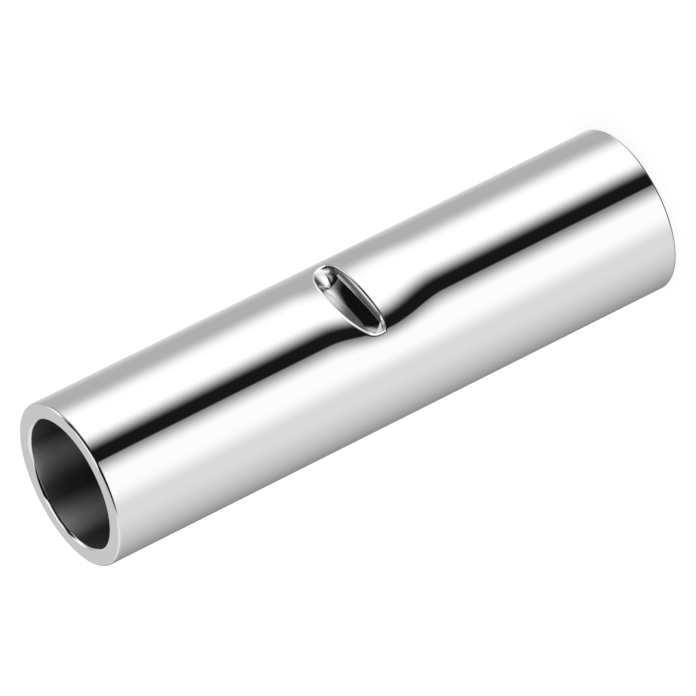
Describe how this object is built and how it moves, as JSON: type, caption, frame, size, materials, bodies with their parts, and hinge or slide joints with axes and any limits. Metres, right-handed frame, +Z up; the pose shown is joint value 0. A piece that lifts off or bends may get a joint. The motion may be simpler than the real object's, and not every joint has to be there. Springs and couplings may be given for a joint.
{
  "type": "butt splice connector",
  "caption": "Plated copper tube with an open wire socket at each end and a pressed-in wire stop halfway, crimped to join two wires end to end.",
  "frame": {"origin": "centre of the lower end face, on the bore's axis", "axes": "+Z up the bore's axis, the press mark of the wire stop faces -Y"},
  "size_m": [0.009, 0.009, 0.0345],
  "materials": {
    "tin_plating": "polished"
  },
  "bodies": {
    "root": {"splice_barrel": "tin_plating"}
  },
  "joints": []
}
